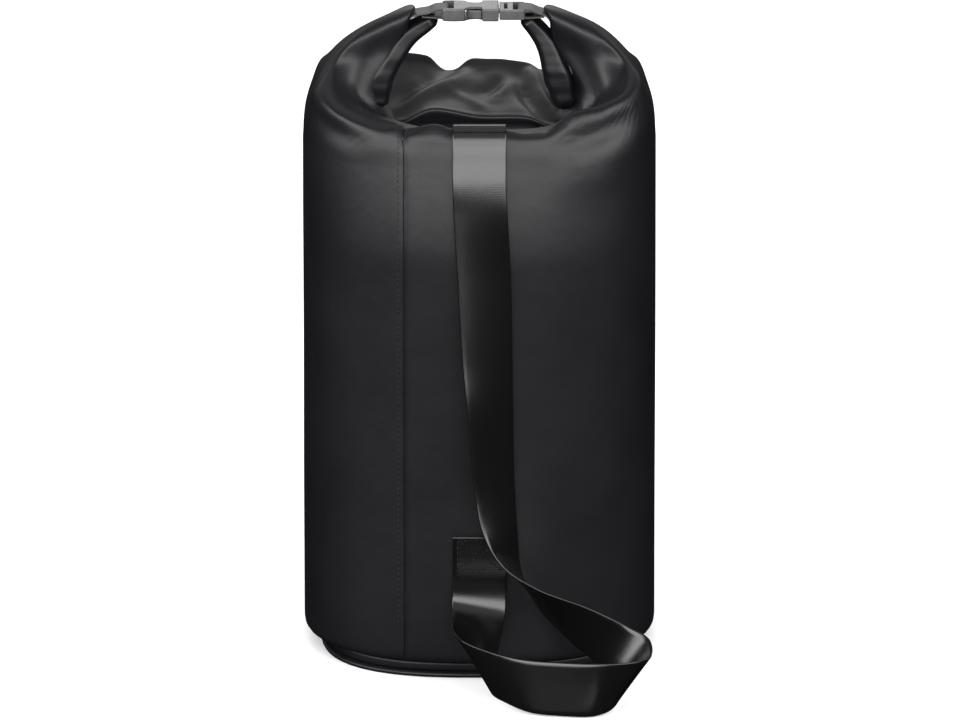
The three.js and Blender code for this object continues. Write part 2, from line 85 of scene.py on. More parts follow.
# The dimmer lights: (name, place, aim, size, radiance).
FILL_LIGHTS = (
    ("upper_front", (-0.2, -1.7, 2.6), (0.0, 0.0, 0.4), (4.0, 2.0), 0.5),
    ("overhead", (0.0, 0.5, 2.8), (0.0, 0.0, 0.4), (2.4, 1.8), 0.45),
    ("back_high", (0.0, 3.0, 2.2), (0.0, 0.0, 0.4), (7.0, 3.2), 0.34),
    ("floor_bounce", (0.05, -0.37, 0.003), (0.05, -0.37, 1.0), (0.17, 0.12), 0.85),
    ("top_glint", (0.0, 2.0, 1.02), (0.0, 0.0, 0.49), (0.9, 0.36), 1.3),
)


def add_camera():
    data = bpy.data.cameras.new("camera")
    data.sensor_width = 36.0
    data.lens = 36.0 * CAMERA_DISTANCE / VIEW_WIDTH
    data.clip_end = 60.0
    camera = bpy.data.objects.new("camera", data)
    away = Vector((0.0, -math.cos(CAMERA_ELEVATION), math.sin(CAMERA_ELEVATION)))
    camera.location = TARGET + away * CAMERA_DISTANCE
    camera.rotation_euler = (math.pi / 2 - CAMERA_ELEVATION, 0.0, 0.0)
    bpy.context.scene.collection.objects.link(camera)
    bpy.context.scene.camera = camera


def add_area_light(name, place, aim, size, radiance):
    """A rectangular softbox of an even radiance, which the camera does not see."""
    data = bpy.data.lights.new(name, "AREA")
    data.shape = "RECTANGLE"
    data.size, data.size_y = size
    data.energy = radiance * math.pi * size[0] * size[1]
    light = bpy.data.objects.new(name, data)
    light.location = place
    light.rotation_euler = (Vector(aim) - Vector(place)).to_track_quat("-Z", "Y").to_euler()
    light.visible_camera = False
    bpy.context.scene.collection.objects.link(light)


def add_studio():
    """A white floor that lights nothing else, so that the bag stays dark below, and a white background
    that lights the bag but shows in none of its reflections.
    """
    scene = bpy.context.scene
    scene.view_settings.view_transform = "Standard"
    world = bpy.data.worlds.new("studio")
    world.use_nodes = True
    background = world.node_tree.nodes["Background"]
    background.inputs["Color"].default_value = (1.0, 1.0, 1.0, 1.0)
    background.inputs["Strength"].default_value = 1.05
    world.cycles_visibility.glossy = False
    scene.world = world
    for name, turn, height, radiance in SOFTBOXES:
        a = math.radians(turn)
        place = (SOFTBOX_DISTANCE * math.sin(a), -SOFTBOX_DISTANCE * math.cos(a), height)
        add_area_light(f"softbox_{name}", place, SOFTBOX_AIM, SOFTBOX_SIZE, radiance)
    for light in FILL_LIGHTS:
        add_area_light(*light)

    floor = make_mesh("floor", [(-8, -8, 0), (8, -8, 0), (8, 8, 0), (-8, 8, 0)], [(0, 1, 2, 3)])
    material, shader, _ = new_material("floor_white")
    shader.inputs["Base Color"].default_value = (0.9, 0.9, 0.9, 1.0)
    shader.inputs["Roughness"].default_value = 0.9
    shader.inputs["Specular IOR Level"].default_value = 0.0
    shader.inputs["Emission Color"].default_value = (1.0, 1.0, 1.0, 1.0)
    shader.inputs["Emission Strength"].default_value = 0.05
    floor.data.materials.append(material)
    floor.visible_diffuse = False
    floor.visible_glossy = False


# ---------------------------------------------------------------- mesh and curve helpers


def make_mesh(name, vertices, faces, uvs=None):
    mesh = bpy.data.meshes.new(name)
    mesh.from_pydata([tuple(v) for v in vertices], [], faces)
    if uvs is not None:
        layer = mesh.uv_layers.new(name="cloth")
        for loop in mesh.loops:
            layer.data[loop.index].uv = uvs[loop.vertex_index]
    mesh.polygons.foreach_set("use_smooth", [True] * len(mesh.polygons))
    mesh.validate()
    mesh.update()
    piece = bpy.data.objects.new(name, mesh)
    bpy.context.scene.collection.objects.link(piece)
    return piece


def grid_faces(rows, columns, wrap_columns=False, wrap_rows=False):
    faces = []
    for i in range(rows if wrap_rows else rows - 1):
        for j in range(columns if wrap_columns else columns - 1):
            k = (j + 1) % columns
            below = ((i + 1) % rows) * columns
            faces.append((i * columns + j, i * columns + k, below + k, below + j))
    return faces


def catmull(points, t, closed=False):
    """Centripetal Catmull-Rom through points (n, ..., 3) at t from 0 to 1, spaced evenly by points."""
    n = len(points)
    place = t * (n if closed else n - 1)
    i = int(math.floor(place))
    w = place - i
    if not closed and i >= n - 1:
        i, w = n - 2, 1.0
    if closed:
        p = [points[(i + k) % n] for k in (-1, 0, 1, 2)]
    else:
        before = points[i - 1] if i > 0 else 2 * points[0] - points[1]
        after = points[i + 2] if i + 2 < n else 2 * points[-1] - points[-2]
        p = [before, points[i], points[i + 1], after]
    spans = [np.sum((p[k + 1] - p[k]) ** 2, axis=-1, keepdims=True) ** 0.25 for k in range(3)]
    d = [np.maximum(span, 1e-4) for span in spans]
    t1 = ((p[1] - p[0]) / d[0] - (p[2] - p[0]) / (d[0] + d[1]) + (p[2] - p[1]) / d[1]) * d[1]
    t2 = ((p[2] - p[1]) / d[1] - (p[3] - p[1]) / (d[1] + d[2]) + (p[3] - p[2]) / d[2]) * d[1]
    c2 = -3 * p[1] + 3 * p[2] - 2 * t1 - t2
    c3 = 2 * p[1] - 2 * p[2] + t1 + t2
    return p[1] + t1 * w + c2 * w**2 + c3 * w**3


def unit(v):
    return v / np.maximum(np.linalg.norm(v, axis=-1, keepdims=True), 1e-9)


def grid_normals(grid, closed=False):
    """Normals of a (rows, columns, 3) grid, pointing to the side that is out for rows going up."""
    down = np.gradient(grid, axis=0)
    if closed:
        along = np.roll(grid, -1, axis=1) - np.roll(grid, 1, axis=1)
    else:
        along = np.gradient(grid, axis=1)
    return unit(np.cross(along, down))


def smoothstep(value, low, high):
    t = np.clip((value - low) / (high - low), 0.0, 1.0)
    return t * t * (3 - 2 * t)


def wavy(points, scale, seed):
    """Smooth noise from -1 to 1 at points in millimetres."""
    flat = points.reshape(-1, 3)
    shift = Vector((seed * 17.3, seed * 5.1, seed * 9.7))
    values = []
    for x, y, z in flat:
        values.append(noise.noise(Vector((x / scale[0], y / scale[1], z / scale[2])) + shift))
    return np.array(values).reshape(points.shape[:-1])


def ring_points(half_width, half_depth, squareness, turns, z):
    """A closed superellipse ring at one height."""
    c = np.cos(turns * 2 * np.pi)
    s = np.sin(turns * 2 * np.pi)
    x = half_width * np.sign(c) * np.abs(c) ** (2 / squareness)
    y = half_depth * np.sign(s) * np.abs(s) ** (2 / squareness)
    return np.stack([x, y, np.full_like(c, z)], axis=-1)


def soft_table(table):
    """A smooth function through (position, value) pairs given in rising order."""
    xs, values = zip(*table)
    fine = np.arange(xs[0] - 20, xs[-1] + 20, 1.0)
    reach = 9
    kernel = np.exp(-((np.arange(-reach, reach + 1) / 3.2) ** 2))
    before = fine[0] - np.arange(reach, 0, -1)
    after = fine[-1] + np.arange(1, reach + 1)
    raw = np.interp(np.concatenate([before, fine, after]), xs, values)
    smooth = np.convolve(raw, kernel / kernel.sum(), mode="valid")
    return lambda x: np.interp(x, fine, smooth)


# ---------------------------------------------------------------- materials


def new_material(name):
    material = bpy.data.materials.new(name)
    material.use_nodes = True
    tree = material.node_tree
    return material, tree.nodes["Principled BSDF"], tree


def add_node(tree, kind, **inputs):
    node = tree.nodes.new(kind)
    for key, value in inputs.items():
        node.inputs[key.replace("_", " ")].default_value = value
    return node


def colour_range(tree, factor, dark, light, low=0.0, high=1.0):
    ramp = tree.nodes.new("ShaderNodeValToRGB")
    ramp.color_ramp.elements[0].position = low
    ramp.color_ramp.elements[0].color = (*dark, 1.0)
    ramp.color_ramp.elements[1].position = high
    ramp.color_ramp.elements[1].color = (*light, 1.0)
    tree.links.new(factor, ramp.inputs["Fac"])
    return ramp.outputs["Color"]


def scaled_noise(tree, coordinates, scale, detail=3.0):
    node = add_node(tree, "ShaderNodeTexNoise", Scale=scale, Detail=detail)
    tree.links.new(coordinates, node.inputs["Vector"])
    return node.outputs["Fac"]


def add_bump(tree, shader, height, strength, distance, under=None):
    bump = add_node(tree, "ShaderNodeBump", Strength=strength, Distance=distance)
    tree.links.new(height, bump.inputs["Height"])
    if under is not None:
        tree.links.new(under, bump.inputs["Normal"])
    tree.links.new(bump.outputs["Normal"], shader.inputs["Normal"])
    return bump.outputs["Normal"]


def math_node(tree, operation, *values):
    node = tree.nodes.new("ShaderNodeMath")
    node.operation = operation
    for socket, value in zip(node.inputs, values):
        if isinstance(value, (int, float)):
            socket.default_value = value
        else:
            tree.links.new(value, socket)
    return node.outputs["Value"]


def coated_fabric_material():
    """Matt polyurethane-coated cloth: a fine pebbled film, faint cloudiness and a soft sheen."""
    material, shader, tree = new_material("coated_fabric")
    place = tree.nodes.new("ShaderNodeTexCoord").outputs["Object"]
    cloud = scaled_noise(tree, place, 14.0, 4.0)
    colour = colour_range(tree, cloud, (0.0040, 0.0038, 0.0056), (0.0056, 0.0054, 0.0074), 0.3, 0.7)
    tree.links.new(colour, shader.inputs["Base Color"])
    grain = scaled_noise(tree, place, 900.0, 2.0)
    soft = scaled_noise(tree, place, 60.0, 2.0)
    roughness = math_node(tree, "MULTIPLY_ADD", cloud, 0.06, 0.37)
    tree.links.new(roughness, shader.inputs["Roughness"])
    first = add_bump(tree, shader, soft, 0.12, 0.002)
    add_bump(tree, shader, grain, 0.16, 0.0003, first)
    shader.inputs["Specular IOR Level"].default_value = 0.5
    return material


YARN_PITCH = 0.0011


def webbing_material(name, dark, light, rib, chevron_half, roughness, specular):
    """Ribbed nylon webbing. Its UV map is in metres: U across from the middle, V along.

    Ribs repeat every `rib` metres, and yarns run along the webbing every `YARN_PITCH` metres.
    """
    material, shader, tree = new_material(name)
    uv = tree.nodes.new("ShaderNodeUVMap")
    uv.uv_map = "cloth"
    split = tree.nodes.new("ShaderNodeSeparateXYZ")
    tree.links.new(uv.outputs["UV"], split.inputs["Vector"])
    across, along = split.outputs["X"], split.outputs["Y"]
    away = math_node(tree, "ABSOLUTE", across)
    # Ribs run straight across, and slope into chevrons near the middle.
    bend = math_node(tree, "MINIMUM", away, chevron_half)
    phase = math_node(tree, "ADD", along, math_node(tree, "MULTIPLY", bend, 0.8))
    ribs = math_node(tree, "SINE", math_node(tree, "MULTIPLY", phase, 2 * math.pi / rib))
    yarns = math_node(tree, "SINE", math_node(tree, "MULTIPLY", across, 2 * math.pi / YARN_PITCH))
    weave = math_node(tree, "ADD", ribs, math_node(tree, "MULTIPLY", yarns, 0.35))
    unit_weave = math_node(tree, "MULTIPLY_ADD", weave, 0.37, 0.5)
    colour = colour_range(tree, unit_weave, dark, light, 0.1, 0.9)
    tree.links.new(colour, shader.inputs["Base Color"])
    add_bump(tree, shader, unit_weave, 0.25, 0.00008)
    shader.inputs["Roughness"].default_value = roughness
    shader.inputs["Specular IOR Level"].default_value = specular
    return material


def plastic_material(name, dark, light, roughness):
    """Moulded acetal: fine spark-eroded texture and slight mottling."""
    material, shader, tree = new_material(name)
    place = tree.nodes.new("ShaderNodeTexCoord").outputs["Object"]
    cloud = scaled_noise(tree, place, 120.0, 3.0)
    tree.links.new(colour_range(tree, cloud, dark, light, 0.3, 0.7), shader.inputs["Base Color"])
    grain = scaled_noise(tree, place, 2600.0, 2.0)
    add_bump(tree, shader, grain, 0.12, 0.0002)
    shader.inputs["Roughness"].default_value = roughness
    shader.inputs["Specular IOR Level"].default_value = 0.9
    return material


def thread_material():
    material, shader, tree = new_material("sewing_thread")
    place = tree.nodes.new("ShaderNodeTexCoord").outputs["Object"]
    fibres = scaled_noise(tree, place, 1800.0, 2.0)
    tree.links.new(
        colour_range(tree, fibres, (0.004, 0.004, 0.0045), (0.009, 0.009, 0.01), 0.3, 0.7),
        shader.inputs["Base Color"],
    )
    add_bump(tree, shader, fibres, 0.3, 0.0002)
    shader.inputs["Roughness"].default_value = 0.5
    return material


# ---------------------------------------------------------------- bag fabric

# One quarter of the fabric between the wall and the roll, from the side fold to the middle of the back.
# Each column climbs from the wall over the ridge and in to the roll, and ends tucked in behind it.
COLLAR_QUARTER = np.array(
    [
        [[135, 0, 395], [133.2, 0, 417], [127, 0, 435], [119, 0, 450],
         [107, 0, 464.5], [94, 0, 476], [78, 0, 486.5], [50, 0, 495.5],
         [49, 0, 494.5], [49, 0, 493.5], [49, 0, 492.5]],
        [[133.5, 25, 395], [132, 24.6, 419], [126, 22.5, 438], [118.5, 19, 451],
         [109, 16, 463], [96, 15, 473], [82, 14.5, 480], [54, 14.5, 492],
         [53, 12.5, 489], [53, 9, 487], [53, 4, 486.5]],
        [[127.9, 49.4, 395], [127, 49, 419], [123.5, 46, 439], [119, 38, 448],
         [112, 30, 453], [102, 21, 455], [86, 17.5, 458], [66, 14.5, 462],
         [60, 11, 463], [57, 8, 463], [55, 3, 463]],
        [[115.9, 74.1, 395], [115.5, 72.5, 416], [114, 70, 433], [111, 63, 439.5],
         [106, 54, 440], [98, 37, 434], [90, 24, 430], [83, 18, 430],
         [79, 14, 430], [75, 9, 430], [70, 4, 430]],
        [[96.8, 95.7, 395], [97, 93.5, 414], [96.5, 89, 429], [94, 82, 434.5],
         [90, 72, 433], [83, 46, 424], [78, 28, 416], [75, 19, 412],
         [72, 14, 409], [68, 9, 407], [64, 5, 406]],
        [[67.9, 113.6, 395], [68, 110.6, 412], [68, 105.6, 425], [67, 99, 429.5],
         [66, 90, 428], [63, 58, 419], [61, 34, 409], [60, 16, 405],
         [59, 12, 400], [59, 9, 396], [59, 7, 393]],
        [[39.3, 122.3, 395], [39, 119.2, 411], [39, 115.6, 422.5], [38, 109.5, 426.5],
         [38, 101, 424], [37, 65, 415], [37, 36, 406], [37, 16, 402],
         [37, 12, 398], [37, 9, 394], [37, 7, 391]],
        [[0, 125.5, 395], [0, 122.2, 410], [0, 118, 421], [0, 111.5, 424.5],
         [0, 103, 422.5], [0, 66, 413.5], [0, 36, 404], [0, 16, 400],
         [0, 12, 397], [0, 9, 394], [0, 7, 391]],
    ],
    dtype=float,
)

# Height of the rolled mouth's top by the position across: the fabric bunches into lobes over it.
roll_top = soft_table(
    [(-90, 405), (-71, 405), (-48, 410), (-35, 418), (-22, 419.5), (-8, 416.5), (7, 407),
     (19, 414.5), (30, 422), (37, 410), (44, 402), (58, 403), (90, 407)]
)
# How much higher the fabric's ridge stands than a level one, on the strap side and on the far side.
near_ridge = soft_table(
    [(-129, 0), (-107, -4), (-87, -4.5), (-73, -5.5), (-62, -1.5), (-55, -7), (-48, -2),
     (-36, 2.5), (-29, 2.5), (-24, 0), (0, 0), (20, 0), (30, -4), (49, -6), (55, -3), (68, 4),
     (88, 1), (107, 1), (129, 0)]
)
far_ridge = soft_table(
    [(-110, 0), (-62, 8), (-50, 7), (-38, 5), (-26, -7), (-19, -5), (-7, 4), (16, 3.5), (39, -1),
     (48, -8), (62, -2), (110, 0)]
)


def over_the_roll(column):
    """Carries a far-side column over the roll's top and down its front, not in behind it."""
    x = column[7, 0]
    share = float(1 - smoothstep(abs(x), 62, 84))
    top = float(roll_top(x))
    apex = column[4, 2]
    path = [
        (column[5, 1], apex + (top - apex) * 0.40 + 1.0),
        (column[6, 1], apex + (top - apex) * 0.74 + 0.8),
        (5.0, top + 0.2),
        (-5.0, top - 0.8),
        (-5.6, top - 3.4),
        (4.0, 391.0),
    ]
    for row, (y, z) in enumerate(path, start=5):
        column[row, 1] += (y - column[row, 1]) * share
        column[row, 2] += (z - column[row, 2]) * share


def collar_rings():
    """Closed control rings, one per row, from the left side fold past -Y, +X and +Y."""
    last = len(COLLAR_QUARTER) - 1
    columns = []
    for quarter, (sx, sy) in enumerate([(-1, -1), (1, -1), (1, 1), (-1, 1)]):
        for step in range(last):
            number = last - step if quarter % 2 else step
            column = COLLAR_QUARTER[number].copy()
            column[:, 0] *= sx
            column[:, 1] *= sy
            if sy > 0 and number >= 4:
                over_the_roll(column)
            columns.append(column)
    return np.array(columns)


RINGS = collar_rings()


def collar_column(turn):
    """The control points of one column, at a turn from the left fold (0) past the back (0.25)."""
    return catmull(RINGS, turn % 1.0, closed=True)


def fabric_turns():
    """Column positions round the bag, close together at the lap seam."""
    turns = np.arange(0, 1, 1 / FABRIC_COLUMNS)
    seam = seam_turn()
    near = np.abs(turns - seam) > 0.008
    return np.sort(np.concatenate([turns[near], seam + np.linspace(-0.0075, 0.0075, 31)]))


def seam_turn():
    """The turn at which the wall's top ring passes the lap seam on the strap side."""
    turns = np.linspace(0.05, 0.25, 400)
    xs = np.array([collar_column(t)[0][0] for t in turns])
    return float(np.interp(SEAM_X, xs, turns))


# The wall's foot: (distance in from the wall, height over the foot seam).
FOOT_PROFILE = [(11.0, 0.0), (4.4, 0.2), (1.7, 1.2), (0.5, 2.9), (0.1, 5.5), (0.0, 10.0)]

FABRIC_COLUMNS = 340
COLLAR_ROWS = 96
APEX_RISE = 3 / 10  # the share of a column's rows at which it passes the ridge
EAR_SPAN = 0.145  # how far an ear reaches round from its side fold, in turns


def wall_ring(top, inset, z):
    """The wall's ring at a height, from its ring at the top: deeper below the lean."""
    lean = np.clip((z - WALL_LEAN_START) / (WALL_TOP - WALL_LEAN_START), 0, 1) ** 1.5
    depth = (1 + (TOP_DEPTH_SHARE - 1) * lean) / TOP_DEPTH_SHARE
    scale = (BODY_RADIUS - inset) / BODY_RADIUS
    return np.stack([top[:, 0] * scale, top[:, 1] * depth * scale, np.full(len(top), z)], axis=-1)


def fabric_grid():
    """The whole outer fabric, rows from the base seam up over the ridge to the roll."""
    turns = fabric_turns()
    columns = np.array([collar_column(t) for t in turns])
    top = columns[:, 0, :]
    rows = [wall_ring(top, inset, WALL_FOOT + rise) for inset, rise in FOOT_PROFILE]
    foot_top = WALL_FOOT + FOOT_PROFILE[-1][1]
    rows += [wall_ring(top, 0.0, z) for z in np.linspace(foot_top, WALL_TOP, 60)[1:-1]]
    wall_rows = len(rows)
    by_row = np.moveaxis(columns, 1, 0)
    for i in range(COLLAR_ROWS + 1):
        row = catmull(by_row, i / COLLAR_ROWS)
        weight = math.exp(-(((i / COLLAR_ROWS - APEX_RISE) / 0.12) ** 2))
        lift = np.where(row[:, 1] < 0, near_ridge(row[:, 0]), far_ridge(row[:, 0]))
        row[:, 2] += lift * weight * smoothstep(np.abs(row[:, 1]), 10, 40)
        rows.append(row)
    return turns, np.array(rows), wall_rows


# Soft folds of the fabric: a line of points, the half width, and the height (negative for a valley).
FOLDS = [
    # the crease that runs up to the ridge beside the lap seam
    ([(-57, -134, 345), (-57, -130, 380), (-57, -124, 412), (-56, -108, 426)], 5.0, -3.0),
    # the dimple under the ridge of the right shoulder, and the bulge below it
    ([(66, -113, 414), (86, -102, 418), (106, -85, 424), (118, -62, 431)], 12.0, -3.6),
    ([(72, -115, 388), (94, -103, 392), (112, -82, 400), (124, -58, 410)], 17.0, 2.0),
    ([(60, -100, 430), (84, -88, 436), (104, -70, 441), (117, -44, 447), (119, -22, 452)], 8.0, 3.0),
    # the left shoulder's crease, which ends at the side
    ([(-126, -34, 434), (-114, -58, 431), (-100, -78, 429)], 6.0, 2.0),
    ([(-122, -58, 420), (-108, -82, 416), (-90, -102, 412)], 9.0, -1.8),
    # the recesses between each ear and the raised end of the roll
    ([(84, -20, 420), (82, -18, 440), (76, -16, 458), (66, -15, 472)], 8.0, -3.0),
    ([(-92, -22, 424), (-90, -19, 440), (-84, -17, 456), (-70, -15, 474)], 9.0, -3.0),
    # long shallow hollows on the outer faces of the ears
    ([(-121, -26, 432), (-112, -20, 456), (-96, -15, 470)], 9.0, -1.6),
    ([(112, -26, 436), (106, -20, 456), (92, -15, 472)], 9.0, -1.8),
]

# Folds of the slope between the far ridge and the roll, as (across, depth) lines.
SLOPE_FOLDS = [
    ([(-71, 14), (-48, 26), (-34, 42), (-16, 75), (-7, 104)], 11.0, 6.0),
    ([(-50, 50), (-36, 66), (-27, 104)], 9.0, -3.5),
    ([(-53, 90), (-58, 65), (-60, 43)], 6.5, -3.5),
    ([(-40, 86), (-44, 60)], 6.5, -2.5),
    ([(20, 84), (10, 62), (1, 44)], 8.5, -5.0),
    ([(12, 96), (22, 66), (12, 34)], 10.0, 3.5),
    ([(30, 96), (33, 62), (38, 28), (45, 2)], 7.0, -5.5),
    ([(39, 96), (44, 60), (50, 34), (58, 10)], 7.5, 5.0),
    ([(50, 80), (55, 50), (64, 22)], 6.0, -3.5),
    ([(62, 70), (68, 44), (72, 24)], 6.5, 2.5),
    ([(-20, 40), (-6, 26), (4, 8)], 7.0, 2.5),
]


FAR_RIDGE_Z = 426.0
SLOPE_DEPTHS = (9, 36, 66, 103)  # from the roll out to the far ridge


def on_slope(line):
    """Places a line of (across, depth) pairs on the far slope's middle surface."""
    points = []
    for x, y in line:
        top = float(roll_top(x))
        low = (top * 2.6 + FAR_RIDGE_Z) / 3.6
        middle = 0.5 * top + 0.5 * FAR_RIDGE_Z
        z = np.interp(y, SLOPE_DEPTHS, (top, low, middle, FAR_RIDGE_Z))
        points.append((x, y, float(z)))
    return points


def add_folds(grid, normals, folds):
    height = np.zeros(grid.shape[:-1])
    for line, half_width, rise in folds:
        points = np.array(line, dtype=float)
        distance = np.full(grid.shape[:-1], 1e9)
        taper = np.zeros(grid.shape[:-1])
        for t in np.linspace(0, 1, 28):
            p = catmull(points, t)
            d = np.linalg.norm(grid - p, axis=-1)
            nearer = d < distance
            distance = np.where(nearer, d, distance)
            taper = np.where(nearer, math.sin(math.pi * (0.12 + 0.76 * t)), taper)
        height += rise * taper * np.exp(-((distance / half_width) ** 2))
    return grid + normals * height[..., None]


def shape_fabric():
    turns, grid, wall_rows = fabric_grid()
    normals = grid_normals(grid, closed=True)
    z = grid[..., 2]
    # A full bag's cloth is never a true cylinder: broad, shallow unevenness that grows towards the top.
    broad = wavy(grid, (95, 95, 150), 1.0)
    fine = wavy(grid, (34, 34, 46), 2.0)
    rise = np.clip(np.arange(len(grid)) - wall_rows, 0, None)[:, None] / COLLAR_ROWS
    amount = 0.5 + 0.5 * smoothstep(z, 250.0, 400.0)
    steady = smoothstep(z, WALL_FOOT + 2, WALL_FOOT + 26)
    held = 1 - smoothstep(rise, 0.66, 0.78)
    height = steady * held * (broad * (0.6 + 1.4 * smoothstep(rise, 0.1, 0.5)) * amount)
    height += held * smoothstep(rise, 0.12, 0.45) * fine * 1.8
    # The lap seam: the left panel's folded edge lies over the right panel.
    seam = seam_turn()
    arc = (turns - seam)[None, :] * WALL_ROUND
    on_wall = (1 - smoothstep(rise, 0.3, 0.42)) * smoothstep(z, WALL_FOOT, WALL_FOOT + 6)
    step = np.where(arc < 0, 0.75 * np.exp(-((arc / 14.0) ** 2)), -0.75 * np.exp(-((arc / 3.2) ** 2)))
    height += on_wall * step
    grid = grid + normals * height[..., None]
    normals = grid_normals(grid, closed=True)
    grid = add_folds(grid, normals, FOLDS)
    slope_folds = [(on_slope(line), width, height) for line, width, height in SLOPE_FOLDS]
    grid = add_folds(grid, normals, slope_folds)
    return turns, grid, wall_rows


def skin_of(turn, collar_row):
    """Which skin a face belongs to, by its turn and by its row above the wall."""
    if collar_row < 0:
        return "bag"
    if turn < EAR_SPAN or turn > 1 - EAR_SPAN:
        return "left"
    if abs(turn - 0.5) < EAR_SPAN:
        return "right"
    return "bag"


def build_fabric(material):
    turns, grid, wall_rows = shape_fabric()
    rows, columns = grid.shape[:2]
    normals = grid_normals(grid, closed=True).reshape(-1, 3)
    vertices = grid.reshape(-1, 3) * MM
    groups = {"bag": [], "left": [], "right": []}
    for face in grid_faces(rows, columns, wrap_columns=True):
        i, j = divmod(face[0], columns)
        groups[skin_of(turns[j], i - wall_rows)].append(face)
    names = {"bag": "bag_skin", "left": "left_ear_skin", "right": "right_ear_skin"}
    pieces = {}
    for key, faces in groups.items():
        used = sorted({v for face in faces for v in face})
        index = {v: n for n, v in enumerate(used)}
        own_faces = [tuple(index[v] for v in face) for face in faces]
        piece = make_mesh(names[key], [vertices[v] for v in used], own_faces)
        piece.data.normals_split_custom_set_from_vertices([tuple(normals[v]) for v in used])
        piece.data.materials.append(material)
        pieces[key] = piece
    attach(pieces["bag"], "bag")
    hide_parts("body_wrap", "back_shoulder", "front_shoulder")
    for key, body, side in (("left", "left_ear", -1), ("right", "right_ear", 1)):
        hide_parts(f"{key}_ear_fabric")
        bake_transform(pieces[key])
    return turns, grid, wall_rows


# ---------------------------------------------------------------- rolled mouth

# The rolled core that lies flat under the middle of the mouth.
CORE_REACH = 72.0
CORE_FOOT = 390.0
CORE_TOP = 405.0
CORE_HALF_DEPTH = 10.5
CORE_SQUARENESS = 2.8

# The raised ends of the roll, from the lower bend to the tip at the buckle: (across, height).
END_SQUARENESS = 4.2
END_LINES = {
    "left": np.array([(77, 424), (75.5, 438), (67, 454.5), (54, 473.5), (38, 484.5)], float) * (-1, 1),
    "right": np.array([(65, 424), (61, 438), (57.3, 450), (50, 469.5), (38, 484.5)], float),
}
END_HALF_DEPTH = np.array([15, 17, 17, 15, 13], float)
END_HALF_THICK = {
    "left": np.array([7, 9, 7.6, 7.2, 5.4]),
    "right": np.array([8, 10.4, 9.4, 7.4, 5.4]),
}


TIP_ANGLES = (22, 45, 65, 82)  # the rings that round off a tube's tip


def tube_grid(line, half_depth, half_thick, count, around, squareness):
    """A closed tube in the XZ plane with rounded tips, as rows of points."""
    data = np.concatenate([line, half_depth[:, None], half_thick[:, None]], axis=1)
    stations = np.array([catmull(data, t) for t in np.linspace(0, 1, count)])
    tangent = unit(np.gradient(stations[:, :2], axis=0))
    angles = np.arange(around) * 2 * np.pi / around
    c, s = np.cos(angles), np.sin(angles)
    rows = []
    for i, (x, z, depth, thick) in enumerate(stations):
        out = thick * np.sign(s) * np.abs(s) ** (2 / squareness)
        side = depth * np.sign(c) * np.abs(c) ** (2 / squareness)
        rows.append(np.stack([x - tangent[i, 1] * out, side, z + tangent[i, 0] * out], axis=-1))
    grid = np.array(rows)
    tips = []
    for tip, inner in ((0, 1), (count - 1, count - 2)):
        centre = grid[tip].mean(axis=0)
        way = unit(centre - grid[inner].mean(axis=0))
        reach = half_thick[0 if tip == 0 else -1]
        rings = []
        for a in np.radians(TIP_ANGLES):
            rings.append(centre + (grid[tip] - centre) * math.cos(a) + way * reach * math.sin(a))
        tips.append(np.array(rings))
    return np.concatenate([tips[0][::-1], grid, tips[1]])


def outward_normals(grid):
    """Normals of a closed tube's grid, pointing away from its middle line."""
    normals = grid_normals(grid, closed=True)
    centre = grid.mean(axis=1, keepdims=True)
    return normals * np.sign(np.sum(normals * (grid - centre), axis=-1).mean())


def tube_piece(name, grid, material):
    rows, around = grid.shape[:2]
    faces = grid_faces(rows, around, wrap_columns=True)
    faces.append(tuple(range(around - 1, -1, -1)))
    faces.append(tuple((rows - 1) * around + j for j in range(around)))
    piece = make_mesh(name, grid.reshape(-1, 3) * MM, faces)
    outward_faces(piece)
    piece.data.materials.append(material)
    return piece


def build_roll(material):
    # The rolled layers under the bunched fabric.
    xs = np.linspace(-CORE_REACH, CORE_REACH, 9)
    tops = np.minimum(roll_top(xs) - 2.0, CORE_TOP)
    line = np.stack([xs, (tops + CORE_FOOT) / 2], axis=-1)
    half_depths = np.full(len(xs), CORE_HALF_DEPTH)
    grid = tube_grid(line, half_depths, (tops - CORE_FOOT) / 2, 120, 48, CORE_SQUARENESS)
    middle = tube_piece("roll_core", grid, material)
    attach(middle, "bag")
    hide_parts("roll_middle")

    for key in ("left", "right"):
        grid = tube_grid(
            END_LINES[key], END_HALF_DEPTH, END_HALF_THICK[key], 110, 96, END_SQUARENESS
        )
        normals = outward_normals(grid)
        x, y, z = grid[..., 0], grid[..., 1], grid[..., 2]
        low = 1 - smoothstep(z, 430, 462)
        cross = wavy(np.stack([x * 0.25, y * 0.3, z], axis=-1), (20, 30, 7.5), 5.0)
        # The free edge of the roll lies along the strap side as a shallow step.
        step = 0.9 * np.tanh((y + 6.0) / 1.2) * (y < 4)
        height = cross * (0.35 + 0.9 * low) + wavy(grid, (22, 22, 22), 6.0) * 0.8 + step
        piece = tube_piece(f"roll_{key}_end", grid + normals * height[..., None], material)
        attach(piece, f"{key}_ear")
        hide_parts(f"roll_end_{key}")


# ---------------------------------------------------------------- webbing


def webbing_section(width, thickness):
    """Outline of flat webbing with rounded selvages, as (across, up) and the UV across."""
    edge = thickness / 2
    top = [(x, edge) for x in np.linspace(-width / 2 + edge, width / 2 - edge, 13)]
    right = [(width / 2 - edge + edge * math.cos(a), edge * math.sin(a)) for a in (0.8, 0.0, -0.8)]
    bottom = [(x, -edge) for x in np.linspace(width / 2 - edge, -width / 2 + edge, 13)]
    left = [(-width / 2 + edge - edge * math.cos(a), -edge * math.sin(a)) for a in (0.8, 0.0, -0.8)]
    return np.array(top + right + bottom + left)


